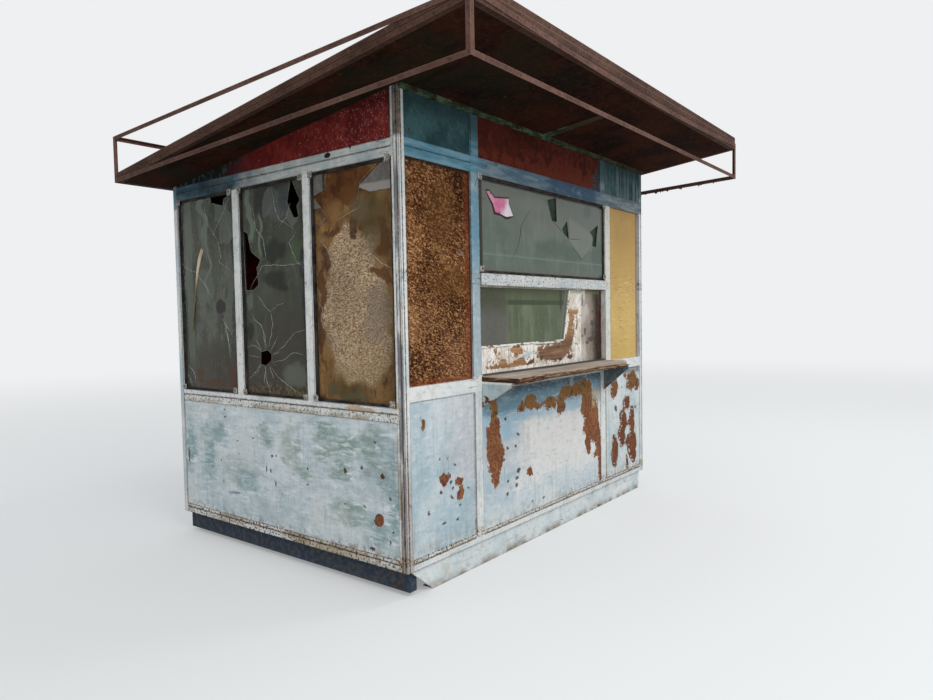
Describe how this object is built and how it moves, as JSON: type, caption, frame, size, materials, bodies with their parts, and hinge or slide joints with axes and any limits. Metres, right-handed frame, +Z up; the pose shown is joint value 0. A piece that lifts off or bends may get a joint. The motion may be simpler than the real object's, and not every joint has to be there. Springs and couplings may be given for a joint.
{
  "type": "street kiosk",
  "caption": "Weathered steel street kiosk on skids with a serving hatch and counter, glazed side walls, a sloping overhanging roof and a bare steel sign frame.",
  "frame": {"origin": "ground level under the centre of the roof's outline, sign frame included", "axes": "+Z up, -Y out of the front wall with the serving hatch and counter, +X to the right along the front wall as seen by a customer"},
  "size_m": [3.477, 3, 2.878],
  "materials": {
    "skid_paint": "satin",
    "base_steel": "matte",
    "floor_wood": "matte",
    "frame_paint": "satin",
    "panel_blue": "satin",
    "door_paint": "satin",
    "chipboard": "matte",
    "pale_chipboard": "matte",
    "ochre_board": "matte",
    "frieze_teal": "satin",
    "frieze_red": "satin",
    "window_frame": "matte",
    "glass": "gloss",
    "sash_wood": "matte",
    "white_board": "matte",
    "shelf_wood": "matte",
    "bracket_paint": "satin",
    "hardware": "matte",
    "hardboard": "matte",
    "sign_frame": "matte",
    "roof_trim": "matte",
    "soffit": "matte",
    "roof_core": "matte",
    "roof_sheet": "matte",
    "soffit_green": "matte"
  },
  "bodies": {
    "root": {"back_door": "door_paint", "back_frame": "frame_paint", "back_panels": "panel_blue", "counter_brackets": "bracket_paint", "counter_shelf": "shelf_wood", "cross_members": "base_steel", "door_handle": "hardware", "door_hinges": "hardware", "floor_boards": "floor_wood", "front_frame": "frame_paint", "front_frieze_ends": "frieze_teal", "front_frieze_middle": "frieze_red", "front_panel_chipboard": "chipboard", "front_panel_plywood": "ochre_board", "front_panels_lower": "panel_blue", "front_window_frame": "window_frame", "front_window_pane": "glass", "hatch_board": "white_board", "hatch_pane": "glass", "hatch_sash": "sash_wood", "left_frame": "frame_paint", "left_frieze": "frieze_red", "left_panel_lower": "panel_blue", "left_window_board": "pale_chipboard", "left_window_frames": "window_frame", "left_window_panes": "glass", "lining_ends": "hardboard", "lining_sides": "hardboard", "right_frame": "frame_paint", "right_frieze": "frieze_red", "right_panel_lower": "panel_blue", "right_window_frames": "window_frame", "right_window_panes": "glass", "roof_core": "roof_core", "roof_edge_lower": "roof_trim", "roof_edge_upper": "roof_trim", "roof_front_lip": "roof_trim", "roof_sheet": "roof_sheet", "roof_soffit_sheets": "soffit", "sign_posts": "sign_frame", "sign_rails_lower": "sign_frame", "sign_rails_upper": "sign_frame", "skids": "skid_paint", "soffit_batten": "soffit_green", "soffit_cover_strip": "soffit_green"}
  },
  "joints": []
}
